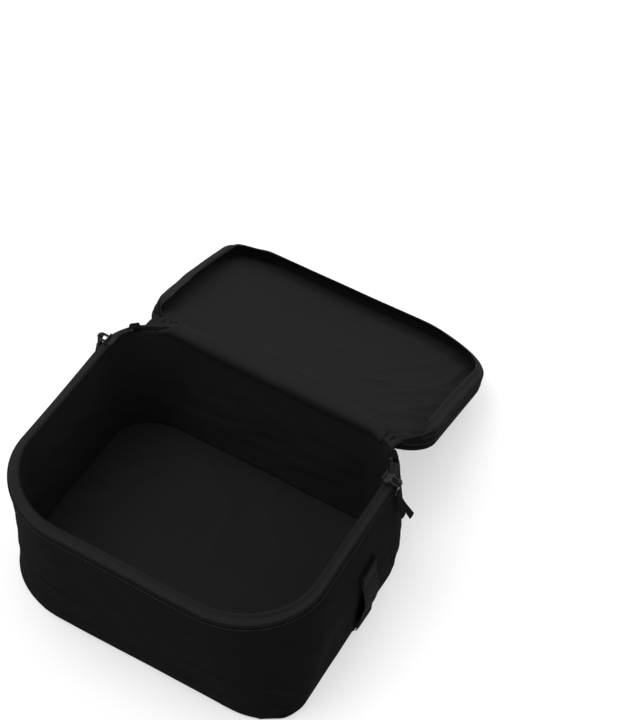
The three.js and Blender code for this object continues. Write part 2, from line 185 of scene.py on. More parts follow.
def case_shape(xy, normal, off, z):
    """Row-frame points for places given by outline point, offset outwards and height."""
    xy, normal = np.atleast_2d(xy), np.atleast_2d(normal)
    z = np.broadcast_to(z, len(xy)).astype(float)
    nx, ny = normal[:, 0], normal[:, 1]
    up = np.clip(z / RIM, 0, 1)
    down = 1 - up
    dx = FOOT_RIGHT * (1 - up**2.6) * (1 + nx) / 2 - FOOT_LEFT * down * (1 - nx) / 2
    dy = -FOOT_FRONT * down * (1 - ny) / 2
    corner = corner_of(normal)
    front, rear = np.clip(-ny, 0, 1) ** 0.5, np.clip(ny, 0, 1) ** 0.5
    share = 0.6 + 0.4 * np.clip(xy[:, 0] / (40 * MM), -1, 1)
    tight = tightened(xy, normal, (FRONT_CORNER - FOOT_CORNER) * down * share)
    drawn = -REAR_DRAW * corner * rear * up
    middle = np.sin(math.pi * up) ** 0.6
    base = np.stack([xy[:, 0], xy[:, 1], z], 1)
    left = np.clip(-nx, 0, 1)
    swell = middle * WALL_BULGE * (np.clip(1 - 2.6 * corner, -0.3, 1) - 1.6 * left)
    sag = waves(base * [1, 1, 0.55], 3, 95 * MM) * 1.6 * MM * middle
    sag += waves(base * [1, 1, 1.6], 11, 38 * MM) * 0.6 * MM * middle
    crease = (ridges(base * [1, 1, 1.9], 21, 85 * MM) - 0.25) * 1.2 * MM * middle * down
    crumple = smooth(0.25, 0.41, corner) * front * np.clip(nx, 0, 1) * smooth(0.25, 0.75, down)
    crumple = crumple * ridges(base * [0.8, 0.8, 2.6], 29, 42 * MM, 2.0) * 2.8 * MM
    foot = -FOOT_ROUND * np.clip(1 - z / (9 * MM), 0, 1) ** 2
    out = off + swell + foot + sag + crease + drawn + crumple
    rim_wave = waves(base * [1, 1, 0], 5, 150 * MM) * 1.0 * MM * up**4
    x = xy[:, 0] + dx + nx * out + tight[:, 0]
    y = xy[:, 1] + dy + ny * out + tight[:, 1]
    return np.stack([x, y, z + rim_wave], 1)


def turned(points, pivot, angle):
    """Points turned about the X axis through pivot."""
    y, z = points[:, 1] - pivot.y, points[:, 2] - pivot.z
    c, s = math.cos(angle), math.sin(angle)
    return np.stack([points[:, 0], pivot.y + y * c - z * s, pivot.z + y * s + z * c], 1)


def opened(points):
    """From the shut lid's place to its open place behind the case."""
    shut_fold = Vector((0, LOWER_FOLD.y, LID_TOP))
    return turned(turned(points, shut_fold, -UPPER_TURN), LOWER_FOLD, -LOWER_TURN)


LID_FULL_TO = 28.0  # degrees of each rear corner where the lid's wall still has its full height
LID_GONE_AT = 76.0
LID_FLAT = 6 * MM  # the lid's layers next to its panel keep their places
LID_LEFT = -9 * MM  # the open lid lies a little askew: its far edge moves left
LID_SHORT = 12 * MM  # and its cloth draws in towards the hinge, most at the left
LID_SHORT_SKEW = 7 * MM
LID_CORNER = 45 * MM  # radius of the far left corner
FAR_WALL_LEAN = 13 * MM  # the far wall flops inwards
SIDE_WALL_LEAN = 3 * MM


def lid_shut(xy, normal, off, z):
    """As case_shape, for the shut lid."""
    xy, normal = np.atleast_2d(xy), np.atleast_2d(normal)
    z = np.broadcast_to(z, len(xy)).astype(float)
    rear = np.degrees(np.arcsin(np.clip(normal[:, 1], -1, 1)))
    height = 1 - 0.97 * smooth(LID_FULL_TO, LID_GONE_AT, rear)
    drop = LID_TOP - z
    drop = np.minimum(drop, LID_FLAT) + np.maximum(drop - LID_FLAT, 0) * height
    hang = np.clip(drop / (LID_TOP - ZIP_MIDDLE), 0, 1)  # 0 at the panel, 1 at the zip
    base = np.stack([xy[:, 0], xy[:, 1], z * 0], 1)
    far = smooth(0.2, 0.9, -normal[:, 1])
    lean = SIDE_WALL_LEAN + (FAR_WALL_LEAN - SIDE_WALL_LEAN) * far
    flop = (waves(base, 31, 120 * MM) * 1.8 * MM - lean) * hang
    flop += waves(base, 33, 45 * MM) * 0.6 * MM * hang
    left_share = np.clip(0.5 - xy[:, 0] / (80 * MM), 0, 1)
    corner = tightened(xy, normal, (FRONT_CORNER - LID_CORNER) * left_share)
    x = xy[:, 0] + normal[:, 0] * (off + flop) + corner[:, 0]
    y = xy[:, 1] + normal[:, 1] * (off + flop) + corner[:, 1]
    return np.stack([x, y, LID_TOP - drop], 1)


def lid_laid(points):
    """Opens the lid, with its panel rolling a little and its far edge askew."""
    x, y, z = points.T
    away = np.clip(0.5 - y / DEPTH, 0, 1)  # 0 at the hinge, 1 at the far edge
    across = x / (WIDTH / 2)
    base = np.stack([x, y, z * 0], 1)
    inner = np.clip(1.05 - np.abs(across) ** 3, 0, 1) * smooth(0.02, 0.25, away)
    roll = waves(base, 37, 190 * MM) * 1.6 * MM * inner + waves(base, 39, 80 * MM) * 0.5 * MM * inner
    short = (LID_SHORT - LID_SHORT_SKEW * across) * away
    return opened(np.stack([x + LID_LEFT * away, y + short, z + roll], 1))


def lid_shape(xy, normal, off, z):
    return lid_laid(lid_shut(xy, normal, off, z))


def unchanged(points):
    return points


# ---- Mesh helpers ----

def mesh_object(name, verts, faces, uv=None, smooth=True):
    mesh = bpy.data.meshes.new(name)
    mesh.from_pydata([tuple(v) for v in verts], [], [tuple(f) for f in faces])
    if uv is not None:
        layer = mesh.uv_layers.new(name="cloth")
        loops = np.zeros(len(mesh.loops), int)
        mesh.loops.foreach_get("vertex_index", loops)
        layer.data.foreach_set("uv", np.asarray(uv, float)[loops].ravel())
    mesh.validate()
    mesh.polygons.foreach_set("use_smooth", [smooth] * len(mesh.polygons))
    obj = bpy.data.objects.new(name, mesh)
    bpy.context.scene.collection.objects.link(obj)
    return obj


def grid_faces(rows, columns, wrap_rows, wrap_columns):
    i, j = np.meshgrid(
        np.arange(rows if wrap_rows else rows - 1),
        np.arange(columns if wrap_columns else columns - 1),
        indexing="ij",
    )
    a = i * columns + j
    b = i * columns + (j + 1) % columns
    c = (i + 1) % rows * columns + (j + 1) % columns
    d = (i + 1) % rows * columns + j
    return np.stack([a, d, c, b], -1).reshape(-1, 4)


def sheet_faces(n, m):
    """Closes two layers of n by m points, listed one after the other, into a thin solid."""
    half, last = n * m, (n - 1) * m
    face = grid_faces(n, m, False, False)
    faces = [tuple(f) for f in face] + [tuple(f) for f in face[:, ::-1] + half]
    for i in range(m - 1):
        faces.append((i, i + half, i + 1 + half, i + 1))
        faces.append((last + i, last + i + 1, last + i + 1 + half, last + i + half))
    for i in range(n - 1):
        a, b = i * m, (i + 1) * m
        faces.append((a, b, b + half, a + half))
        a, b = a + m - 1, b + m - 1
        faces.append((a, a + half, b + half, b))
    return faces


def band(name, outline, shape, profile):
    """Sweeps a profile of (offset, height) pairs, counterclockwise, along an outline."""
    profile = np.asarray(profile, float)
    n, m = len(outline.xy), len(profile)
    xy = np.repeat(outline.xy, m, 0)
    normal = np.repeat(outline.normal, m, 0)
    off, z = np.tile(profile[:, 0], n), np.tile(profile[:, 1], n)
    verts = shape(xy, normal, off, z)
    faces = [tuple(f) for f in grid_faces(n, m, outline.closed, True)]
    if not outline.closed:
        faces.append(tuple(range(m)))
        faces.append(tuple(range((n - 1) * m, n * m))[::-1])
    around = np.concatenate([[0], np.cumsum(np.linalg.norm(np.diff(profile, axis=0), axis=1))])
    uv = np.stack([np.repeat(outline.length, m), np.tile(around, n)], 1)
    return mesh_object(name, verts, faces, uv)


def slab_profile(outer, inner, low, high, step=4 * MM):
    """A counterclockwise upright strip between two offsets, divided along its height."""
    count = max(1, round((high - low) / step))
    heights = np.linspace(low, high, count + 1)
    return [(outer, z) for z in heights] + [(inner, z) for z in heights[::-1]]


def round_profile(off, z, radius, sides=10):
    turn = np.linspace(0, 2 * math.pi, sides, endpoint=False)
    return [(off + radius * math.cos(t), z + radius * math.sin(t)) for t in turn]


def panel(name, shape, finish, inset, low, high, rings=42, relief=None):
    """A rounded flat piece between two heights, inset from the outline, in rings to its middle.

    shape places its edge, relief gives how far it is lifted at each flat place, and finish comes last.
    """
    n = len(RING.xy)
    fractions = np.repeat(np.linspace(1, 0.02, rings), n)[:, None]
    verts, uv = [], []
    for height in (high, low):
        edge = shape(RING.xy, RING.normal, -inset, height)
        flat = np.tile(edge[:, :2], (rings, 1)) * fractions
        z = height + (np.tile(edge[:, 2], rings) - height) * fractions[:, 0] ** 4
        if relief is not None:
            z = z + relief(flat)
        verts.append(finish(np.column_stack([flat, z])))
        uv.append(flat)
    verts, uv = np.concatenate(verts), np.concatenate(uv)
    half = rings * n
    top = grid_faces(rings, n, False, True)[:, ::-1]
    bottom = top[:, ::-1] + half
    faces = [tuple(f) for f in top] + [tuple(f) for f in bottom]
    last = (rings - 1) * n
    faces.append(tuple(range(last, last + n)))
    faces.append(tuple(range(half + last, half + last + n))[::-1])
    for i in range(n):
        k = (i + 1) % n
        faces.append((i, half + i, half + k, k))
    return mesh_object(name, verts, faces, uv)


def along(points, spacing):
    """Places spaced evenly along a polyline, with their unit directions."""
    gaps = np.linalg.norm(np.diff(points, axis=0), axis=1)
    run = np.concatenate([[0], np.cumsum(gaps)])
    at = np.arange(spacing / 2, run[-1], spacing)
    place = np.stack([np.interp(at, run, points[:, i]) for i in range(3)], 1)
    ahead = np.stack([np.interp(at + 0.1 * MM, run, points[:, i]) for i in range(3)], 1)
    direction = ahead - place
    direction /= np.maximum(np.linalg.norm(direction, axis=1, keepdims=True), 1e-9)
    return place, direction


def stitches(name, paths, pitch=3.4 * MM, length=2.5 * MM, width=0.42 * MM):
    """Short plump threads laid end to end along each path."""
    sides = 6
    rings = [(-0.5, 0.25), (-0.38, 0.8), (0, 1.0), (0.38, 0.8), (0.5, 0.25)]
    verts, faces = [], []
    for path in paths:
        place, direction = along(np.asarray(path, float), pitch)
        side = np.cross(direction, [0.31, 0.52, 0.79])
        side /= np.linalg.norm(side, axis=1, keepdims=True)
        up = np.cross(side, direction)
        for p, d, s, u in zip(place, direction, side, up):
            first = len(verts)
            for t, r in rings:
                for k in range(sides):
                    a = 2 * math.pi * k / sides
                    verts.append(p + d * length * t + (s * math.cos(a) + u * math.sin(a)) * width * r)
            for i in range(len(rings) - 1):
                for k in range(sides):
                    k2 = (k + 1) % sides
                    a, b = first + i * sides, first + (i + 1) * sides
                    faces.append((a + k, a + k2, b + k2, b + k))
            faces.append(tuple(first + k for k in range(sides))[::-1])
            end = first + (len(rings) - 1) * sides
            faces.append(tuple(end + k for k in range(sides)))
    return mesh_object(name, verts, faces)


def helix(name, outline, shape, off, z, radius, pitch=1.35 * MM, wire=0.3 * MM):
    """A zip's coil: a wire wound along the outline."""
    sides, turn_points = 5, 9
    turns = int((outline.length[-1]) / pitch)
    count = turns * turn_points
    at = np.linspace(0.5 * MM, outline.length[-1] - 0.5 * MM, count)
    phase = np.arange(count) * 2 * math.pi / turn_points
    xy, normal = outline.at(at)
    centre = shape(xy, normal, off + radius * np.cos(phase), z + radius * np.sin(phase))
    return wire_mesh(name, centre, wire, sides)


def wire_mesh(name, centre, radius, sides=8):
    """A closed tube along a list of points."""
    tangent = np.gradient(centre, axis=0)
    tangent /= np.linalg.norm(tangent, axis=1, keepdims=True)
    side = np.cross(tangent, [0.21, 0.33, 0.92])
    side /= np.linalg.norm(side, axis=1, keepdims=True)
    up = np.cross(side, tangent)
    turn = np.linspace(0, 2 * math.pi, sides, endpoint=False)
    ring = side[:, None] * np.cos(turn)[None, :, None] + up[:, None] * np.sin(turn)[None, :, None]
    verts = (centre[:, None] + radius * ring).reshape(-1, 3)
    faces = [tuple(f) for f in grid_faces(len(centre), sides, False, True)[:, ::-1]]
    faces.append(tuple(range(sides)))
    faces.append(tuple(range(len(verts) - sides, len(verts)))[::-1])
    return mesh_object(name, verts, faces)


# ---- Materials ----

class Nodes:
    """A small builder for one material's node tree."""

    def __init__(self, name):
        self.material = bpy.data.materials.new(name)
        self.material.use_nodes = True
        self.tree = self.material.node_tree
        self.shader = self.tree.nodes["Principled BSDF"]

    def add(self, kind, **inputs):
        node = self.tree.nodes.new(kind)
        for key, value in inputs.items():
            if key in node.inputs:
                self.join(value, node.inputs[key])
            else:
                setattr(node, key, value)
        return node

    def join(self, value, socket):
        if hasattr(value, "is_output"):
            self.tree.links.new(value, socket)
        else:
            socket.default_value = value

    def math(self, operation, a, b=0.0):
        node = self.tree.nodes.new("ShaderNodeMath")
        node.operation = operation
        self.join(a, node.inputs[0])
        self.join(b, node.inputs[1])
        return node.outputs[0]

    def noise(self, vector, scale, detail=3.0):
        node = self.add("ShaderNodeTexNoise", Scale=scale, Detail=detail)
        self.join(vector, node.inputs["Vector"])
        return node.outputs["Fac"]

    def mix(self, factor, a, b):
        node = self.tree.nodes.new("ShaderNodeMix")
        node.data_type = "RGBA"
        self.join(factor, node.inputs["Factor"])
        self.join(a, node.inputs[6])
        self.join(b, node.inputs[7])
        return node.outputs[2]

    def bump(self, height, strength, distance):
        node = self.add("ShaderNodeBump", Strength=strength, Distance=distance)
        self.join(height, node.inputs["Height"])
        self.tree.links.new(node.outputs["Normal"], self.shader.inputs["Normal"])


def shade(color, amount):
    return tuple(min(1.0, c * amount) for c in color) + (1.0,)


def woven(name, color, pitch, sheen, depth, roughness=0.9):
    """Cloth with a real over-and-under weave in the UV map, which is in metres."""
    n = Nodes(name)
    uv = n.add("ShaderNodeUVMap", uv_map="cloth").outputs["UV"]
    split = n.add("ShaderNodeSeparateXYZ")
    n.join(uv, split.inputs[0])
    u, v = split.outputs[0], split.outputs[1]
    turn = 2 * math.pi / pitch
    warp = n.math("SINE", n.math("MULTIPLY", u, turn))
    weft = n.math("SINE", n.math("MULTIPLY", v, turn))
    weave = n.math("MULTIPLY", warp, weft)
    height = n.math("ADD", n.math("MULTIPLY", weave, 0.5), 0.5)
    place = n.add("ShaderNodeTexCoord").outputs["Object"]
    cloudy = n.noise(place, 9.0, 4.0)
    fuzz = n.noise(place, 900.0, 2.0)
    tone = n.mix(cloudy, shade(color, 0.78), shade(color, 1.25))
    threads = n.mix(height, shade(color, 0.55), shade(color, 1.45))
    both = n.mix(0.5, tone, threads)
    worn = n.math("MULTIPLY", fuzz, 0.35)
    n.join(n.mix(worn, both, shade(color, 2.0)), n.shader.inputs["Base Color"])
    rough = n.math("ADD", n.math("MULTIPLY", cloudy, 0.16), roughness - 0.08)
    n.join(rough, n.shader.inputs["Roughness"])
    n.shader.inputs["Sheen Weight"].default_value = sheen
    n.shader.inputs["Sheen Roughness"].default_value = 0.5
    n.shader.inputs["Specular IOR Level"].default_value = 0.015
    slub = n.noise(place, 140.0, 3.0)
    total = n.math("ADD", height, n.math("MULTIPLY", fuzz, 0.6))
    total = n.math("ADD", total, n.math("MULTIPLY", slub, 2.2))
    n.bump(total, 0.6, depth)
    return n.material


def ribbed(name, color, pitch, roughness=0.8, depth=0.25 * MM):
    """Narrow woven tape: ribs across it that zigzag along it in a chevron."""
    n = Nodes(name)
    uv = n.add("ShaderNodeUVMap", uv_map="cloth").outputs["UV"]
    split = n.add("ShaderNodeSeparateXYZ")
    n.join(uv, split.inputs[0])
    turn = 2 * math.pi / pitch
    zig = n.math("PINGPONG", split.outputs[1], 1.6 * MM)
    run = n.math("ADD", split.outputs[0], n.math("MULTIPLY", zig, 0.9))
    rib = n.math("SINE", n.math("MULTIPLY", run, turn))
    height = n.math("ADD", n.math("MULTIPLY", rib, 0.5), 0.5)
    place = n.add("ShaderNodeTexCoord").outputs["Object"]
    cloudy = n.noise(place, 14.0, 3.0)
    fuzz = n.noise(place, 1100.0, 2.0)
    threads = n.mix(height, shade(color, 0.6), shade(color, 1.4))
    tone = n.mix(cloudy, shade(color, 0.85), shade(color, 1.2))
    n.join(n.mix(0.5, threads, tone), n.shader.inputs["Base Color"])
    n.join(n.math("ADD", n.math("MULTIPLY", fuzz, 0.15), roughness - 0.07), n.shader.inputs["Roughness"])
    n.shader.inputs["Sheen Weight"].default_value = 0.02
    n.shader.inputs["Specular IOR Level"].default_value = 0.015
    n.bump(n.math("ADD", height, n.math("MULTIPLY", fuzz, 0.5)), 0.6, depth)
    return n.material


def plain(name, color, roughness, metallic=0.0, grain=400.0, depth=0.03 * MM, sheen=0.0):
    """Moulded, enamelled or spun surfaces: fine grain, with uneven gloss."""
    n = Nodes(name)
    place = n.add("ShaderNodeTexCoord").outputs["Object"]
    cloudy = n.noise(place, 60.0, 4.0)
    fine = n.noise(place, grain, 3.0)
    n.join(n.mix(cloudy, shade(color, 0.8), shade(color, 1.3)), n.shader.inputs["Base Color"])
    n.join(n.math("ADD", n.math("MULTIPLY", fine, 0.2), roughness - 0.1), n.shader.inputs["Roughness"])
    n.shader.inputs["Metallic"].default_value = metallic
    n.shader.inputs["Specular IOR Level"].default_value = 0.2
    n.shader.inputs["Sheen Weight"].default_value = sheen
    n.bump(fine, 0.4, depth)
    return n.material


SHELL = woven("shell_nylon", (0.0050, 0.0050, 0.0053), 0.85 * MM, sheen=0.0, depth=0.2 * MM)
LINED = woven("lining_polyester", (0.0125, 0.0125, 0.0131), 0.6 * MM, sheen=0.005, depth=0.14 * MM)
BOUND = ribbed("binding_ribbed", (0.0075, 0.0075, 0.0080), 0.9 * MM)
TAPE = ribbed("zip_tape_chevron", (0.0155, 0.0155, 0.0164), 0.9 * MM)
WEBBING = ribbed("webbing_ribbed", (0.0052, 0.0052, 0.0056), 1.3 * MM, depth=0.35 * MM)
COIL = plain("coil_nylon", (0.010, 0.010, 0.0105), 0.5)
METAL = plain("black_enamel", (0.010, 0.010, 0.0104), 0.48, metallic=0.2, grain=250.0)
THREAD = plain("thread_spun", (0.011, 0.011, 0.012), 0.75, grain=2500.0, sheen=0.03)
FOAMY = plain("foam_grey", (0.05, 0.05, 0.05), 0.95, grain=700.0, depth=0.2 * MM)


def dress(obj, material, body, slot, *replaced):
    obj.data.materials.clear()
    obj.data.materials.append(material)
    if body is not None:
        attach(obj, body)
    if replaced:
        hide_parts(*replaced)
    return obj


# ---- Camera, floor and light ----

CAMERA_AZIMUTH = 19.6
CAMERA_HEIGHT = 47.7
CAMERA_ROLL = 11.2
CAMERA_DISTANCE = 2.0725
CAMERA_TARGET = Vector((-0.0011, 0.2154, 0.060))
CAMERA_LENS = 116.05  # on a 36 mm sensor along the picture's long side


def make_camera():
    a, e, roll = (math.radians(v) for v in (CAMERA_AZIMUTH, CAMERA_HEIGHT, CAMERA_ROLL))
    back = Vector((math.sin(a) * math.cos(e), -math.cos(a) * math.cos(e), math.sin(e)))
    right = Vector((math.cos(a), math.sin(a), 0))
    up = back.cross(right)
    side = right * math.cos(roll) + up * math.sin(roll)
    top = up * math.cos(roll) - right * math.sin(roll)
    data = bpy.data.cameras.new("camera")
    data.sensor_width = 36
    data.lens = CAMERA_LENS
    camera = bpy.data.objects.new("camera", data)
    turn = Matrix((side, top, back)).transposed().to_4x4()
    camera.matrix_world = Matrix.Translation(CAMERA_TARGET + back * CAMERA_DISTANCE) @ turn
    bpy.context.scene.collection.objects.link(camera)
    bpy.context.scene.camera = camera


def area_light(name, place, size, power):
    data = bpy.data.lights.new(name, "AREA")
    data.energy, data.size = power, size
    lamp = bpy.data.objects.new(name, data)
    lamp.location = place
    lamp.rotation_euler = (Vector((0, 0.1, 0.05)) - Vector(place)).to_track_quat("-Z", "Y").to_euler()
    bpy.context.scene.collection.objects.link(lamp)


def make_stage():
    size = 6.0
    corners = [(-size, -size, 0), (size, -size, 0), (size, size, 0), (-size, size, 0)]
    floor = mesh_object("studio_floor", corners, [(0, 1, 2, 3)], smooth=False)
    n = Nodes("floor_white")
    n.shader.inputs["Base Color"].default_value = (0.5, 0.5, 0.5, 1)
    n.shader.inputs["Emission Color"].default_value = (1, 1, 1, 1)  # lifts the shadows on a lit table
    n.shader.inputs["Emission Strength"].default_value = 0.5
    n.shader.inputs["Roughness"].default_value = 0.9
    floor.data.materials.append(n.material)
    world = bpy.data.worlds.new("studio")
    world.use_nodes = True
    world.node_tree.nodes["Background"].inputs[0].default_value = (1, 1, 1, 1)
    world.node_tree.nodes["Background"].inputs[1].default_value = 0.75
    bpy.context.scene.world = world
    area_light("key", (-0.9, -0.3, 2.3), 1.4, 27)
    area_light("fill", (-1.1, -2.0, 1.9), 1.6, 10)
    area_light("back", (0.0, 2.4, 1.9), 1.5, 16)


make_camera()
make_stage()
bpy.context.scene.view_settings.view_transform = "Standard"

# ---- Case ----

WALL_FOOT = 1.6 * MM
LINING_OUT = -(CLOTH + FOAM + 0.6 * MM)
LINING_IN = LINING_OUT - LINING


def make_case():
    shell = band("case_wall_cloth", RING, case_shape, slab_profile(0, -CLOTH, WALL_FOOT, RIM, 3 * MM))
    dress(shell, SHELL, "case", "shell_fabric", "wall_shell")
    foam_out = -(CLOTH + 0.3 * MM)
    profile = slab_profile(foam_out, foam_out - FOAM, WALL_FOOT, RIM - 0.4 * MM)
    foam = band("case_wall_foam", RING, case_shape, profile)
    dress(foam, FOAMY, "case", "foam", "wall_padding")
    profile = slab_profile(LINING_OUT, LINING_IN, WALL_FOOT, RIM, 3 * MM)
    lining = band("case_wall_lining", RING, case_shape, profile)
    dress(lining, LINED, "case", "lining", "wall_lining")
    rim = band("case_rim_binding", RING, case_shape, binding_profile())
    dress(rim, BOUND, "case", "binding_tape", "rim_binding")
    piping = band("case_base_piping", RING, case_shape, round_profile(0.9 * MM, 1.8 * MM, 1.75 * MM))
    dress(piping, BOUND, "case", "binding_tape", "base_piping")
    base = panel("case_base_cloth", case_shape, unchanged, 3.2 * MM, 0.0, CLOTH, rings=16)
    dress(base, SHELL, "case", "shell_fabric", "base_shell")
    pad = panel("case_base_foam", case_shape, unchanged, 6 * MM, CLOTH + 0.3 * MM, 5.5 * MM, rings=10)
    dress(pad, FOAMY, "case", "foam", "base_padding")
    floor = panel(
        "case_base_lining", case_shape, unchanged, 5.2 * MM, 5.8 * MM, 6.6 * MM, 50, rumple
    )
    dress(floor, LINED, "case", "lining", "base_lining")
    profile = round_profile(LINING_IN - 1.1 * MM, 8.2 * MM, 1.1 * MM)
    inner = band("case_seam_binding", RING, case_shape, profile)
    dress(inner, BOUND, "case", "binding_tape", "base_seam_binding")


def binding_profile():
    """Rounded bound edge on top of the wall."""
    low, high, outer, inner = RIM + 0.1 * MM, BOUND_TOP, 0.4 * MM, LINING_IN
    soft = 0.7 * MM
    return [
        (inner, low),
        (outer - soft, low),
        (outer, low + soft),
        (outer, high - soft),
        (outer - soft, high),
        (inner + soft, high + 0.2 * MM),
        (inner, high - soft),
    ]


def edge_fade(flat, width):
    """0 at the outline, 1 further inside than width."""
    reach = np.max(np.abs(flat) / [WIDTH / 2, DEPTH / 2], axis=1)
    return np.clip((1 - reach) * WIDTH / 2 / width, 0, 1)


def rumple(flat):
    """Low soft rumples in a loose floor lining."""
    place = np.column_stack([flat, np.zeros(len(flat))])
    lift = waves(place, 51, 70 * MM) * 0.9 * MM + ridges(place, 53, 90 * MM, 5.0) * 1.2 * MM
    return np.clip(lift + 1.0 * MM, 0, None) * edge_fade(flat, 20 * MM)


make_case()

# ---- Zips ----

TAPE_THICK = 0.6 * MM
TAPE_FADE = 22.0  # degrees of the rear corner over which the lid's tape tapers away
TUCKED_OFF = -2.2 * MM


def tape_profile(mirror=False):
    """The tape leaves the bound edge, leans inwards in a shallow curve and stands up at the coil."""
    foot = BOUND_TOP + 0.1 * MM
    path = [(-0.8, 0.0), (-2.6, 0.9), (-4.4, 1.5), (-6.0, 2.1), (-6.9, 3.0), (-7.1, 4.2), (-7.1, 5.1)]
    path = np.array(path) * MM + [0, foot]
    across = np.gradient(path, axis=0)
    across = np.stack([across[:, 1], -across[:, 0]], 1)
    across /= np.linalg.norm(across, axis=1, keepdims=True)
    outer, inner = path + across * TAPE_THICK / 2, path - across * TAPE_THICK / 2
    profile = np.concatenate([outer, inner[::-1]])
    if mirror:
        profile[:, 1] = 2 * ZIP_MIDDLE - profile[:, 1]
        profile = profile[::-1]
    return profile


def tucked(shape, seam):
    """The same shape, with a tape's ends drawn outwards and down to the seam they are sewn into."""
    def place(xy, normal, off, z):
        rear = np.degrees(np.arcsin(np.clip(np.atleast_2d(normal)[:, 1], -1, 1)))
        end = smooth(ZIP_END - TAPE_FADE, ZIP_END, rear)
        return shape(xy, normal, off * (1 - end) + TUCKED_OFF * end, z * (1 - end) + seam * end)
    return place


lid_tucked = tucked(lid_shape, LID_SEAM + MM)


def make_zips():
    coil_off, coil_z = -8.2 * MM, TAPE_TOP - 0.8 * MM
    lower = band("case_zip_tape", ZIP_RUN, case_shape, tape_profile())
    dress(lower, TAPE, "case", "zip_tape", "lower_zip_tape")
    coil = helix("case_zip_coil", ZIP_RUN, case_shape, coil_off, coil_z, 0.85 * MM)
    dress(coil, COIL, "case", "zip_coil", "lower_zip_coil")
    upper = band("lid_zip_tape", ZIP_RUN, lid_tucked, tape_profile(mirror=True))
    dress(upper, TAPE, "lid", "zip_tape", "upper_zip_tape")
    coil = helix("lid_zip_coil", ZIP_RUN, lid_tucked, coil_off, 2 * ZIP_MIDDLE - coil_z, 0.85 * MM)
    dress(coil, COIL, "lid", "zip_coil", "upper_zip_coil")


make_zips()

# ---- Lid ----

LID_FOAM = 3 * MM


def lid_creases(flat):
    """Loose lid lining: long shallow folds, and sharper slanting ones towards its right end.

    Shut, the lining hangs down from the panel, so it is lifted by a negative height.
    """
    place = np.column_stack([flat, np.zeros(len(flat))])
    long_folds = ridges(place * [0.5, 1.0, 1], 61, 60 * MM, 3.0) * 1.3 * MM
    slanted = np.column_stack([flat[:, 0] * 0.9 + flat[:, 1] * 0.6, flat[:, 1] * 0.35, flat[:, 0] * 0])
    right = smooth(0.15, 0.8, flat[:, 0] / (WIDTH / 2))
    sharp = ridges(slanted, 67, 46 * MM, 4.0) * 2.0 * MM * right
    soft = (waves(place, 71, 75 * MM) + 1) * 0.6 * MM
    from_crease = (flat[:, 1] - DEPTH / 2) / MM + 26 + 4 * waves(place, 73, 160 * MM)
    by_hinge = np.exp(-((from_crease / 4.5) ** 2))
    pulled = by_hinge * 2.4 * MM * (0.75 + 0.25 * waves(place, 75, 90 * MM))
    return -(long_folds + sharp + soft + pulled) * edge_fade(flat, 22 * MM)


def make_lid():
    foot = 3.6 * MM
    top = LID_TOP - foot
    wall = band("lid_wall_cloth", WALL_RUN, lid_shape, slab_profile(0, -CLOTH, LID_SEAM, top, 2 * MM))
    dress(wall, SHELL, "lid", "shell_fabric", "lid_wall")
    out = -(CLOTH + 0.3 * MM)
    profile = slab_profile(out, out - LINING, LID_SEAM, top, 2 * MM)
    lining = band("lid_wall_lining", WALL_RUN, lid_shape, profile)
    dress(lining, LINED, "lid", "lining", "lid_wall_lining")
    profile = round_profile(-1.7 * MM, LID_TOP - 1.7 * MM, 1.6 * MM)
    piping = band("lid_piping_cord", RING, lid_shape, profile)
    dress(piping, BOUND, "lid", "binding_tape", "lid_piping")
    skin = panel("lid_panel_cloth", lid_shut, lid_laid, 3.3 * MM, LID_TOP - CLOTH, LID_TOP, rings=50)
    dress(skin, SHELL, "lid", "shell_fabric", "lid_panel")
    pad_top = LID_TOP - CLOTH - 0.3 * MM
    pad = panel("lid_foam", lid_shut, lid_laid, 4.4 * MM, pad_top - LID_FOAM, pad_top, rings=30)
    dress(pad, FOAMY, "lid", "foam", "lid_padding")
    lin_top = pad_top - LID_FOAM - 0.3 * MM
    inner = panel(
        "lid_lining_cloth", lid_shut, lid_laid, 2.6 * MM, lin_top - LINING, lin_top, 80, lid_creases
    )
    dress(inner, LINED, "lid", "lining", "lid_lining")
    seam_z = lin_top - LINING - 1.2 * MM
    profile = round_profile(out - LINING - 1.2 * MM, seam_z, 1.1 * MM)
    seam = band("lid_seam_binding", ZIP_RUN, lid_shape, profile)
    dress(seam, BOUND, "lid", "binding_tape", "lid_seam_binding")
    bound = np.array(binding_profile())
    bound[:, 1] = 2 * ZIP_MIDDLE - bound[:, 1]
    rim = band("lid_rim_binding", ZIP_RUN, lid_tucked, bound[::-1])
    dress(rim, BOUND, "lid", "binding_tape", "lid_rim_binding")


make_lid()

# ---- Hinge ----

HINGE_HALF = WIDTH / 2 - REAR_CORNER


def rounded_path(points, count):
    """Smooth curve through given (y, z) points, evenly divided."""
    points = np.asarray(points, float)
    for _ in range(3):  # corner cutting that keeps the ends
        a, b = points[:-1], points[1:]
        cut = np.stack([a * 0.75 + b * 0.25, a * 0.25 + b * 0.75], 1).reshape(-1, points.shape[1])
        points = np.concatenate([points[:1], cut, points[-1:]])
    run = np.concatenate([[0], np.cumsum(np.linalg.norm(np.diff(points, axis=0), axis=1))])
    at = np.linspace(0, run[-1], count)
    return np.stack([np.interp(at, run, c) for c in points.T], 1)


